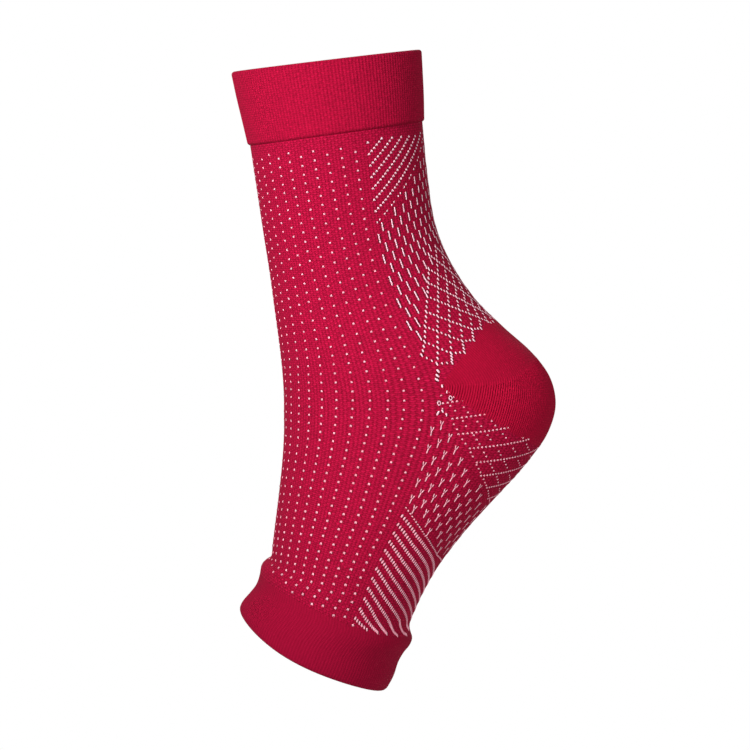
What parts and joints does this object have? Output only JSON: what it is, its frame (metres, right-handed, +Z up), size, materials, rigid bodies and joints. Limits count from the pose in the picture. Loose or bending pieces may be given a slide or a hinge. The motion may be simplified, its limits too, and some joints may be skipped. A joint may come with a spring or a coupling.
{
  "type": "ankle compression sleeve",
  "caption": "Open-toe knitted ankle sleeve with a turned leg welt, a plain shaped heel and a rolled toe welt; it grips the ankle and arch and leaves the toes bare.",
  "frame": {"origin": "centre of the leg opening, where the leg goes in", "axes": "+Z up the leg, +X towards the heel, -X towards the shin and instep, Y across the ankle"},
  "size_m": [0.1356, 0.0832, 0.2686],
  "materials": {
    "tube_knit": "matte fine jersey knit, crimson",
    "welt_knit": "matte fine ribbed knit, crimson",
    "heel_knit": "matte plain knit, slightly deeper crimson",
    "pattern_yarn": "white inlay yarn, tinted by the red around it"
  },
  "bodies": {
    "root": {"leg_welt": "welt_knit", "sleeve_tube": "tube_knit", "heel_pocket": "heel_knit", "toe_welt": "welt_knit"}
  },
  "joints": []
}
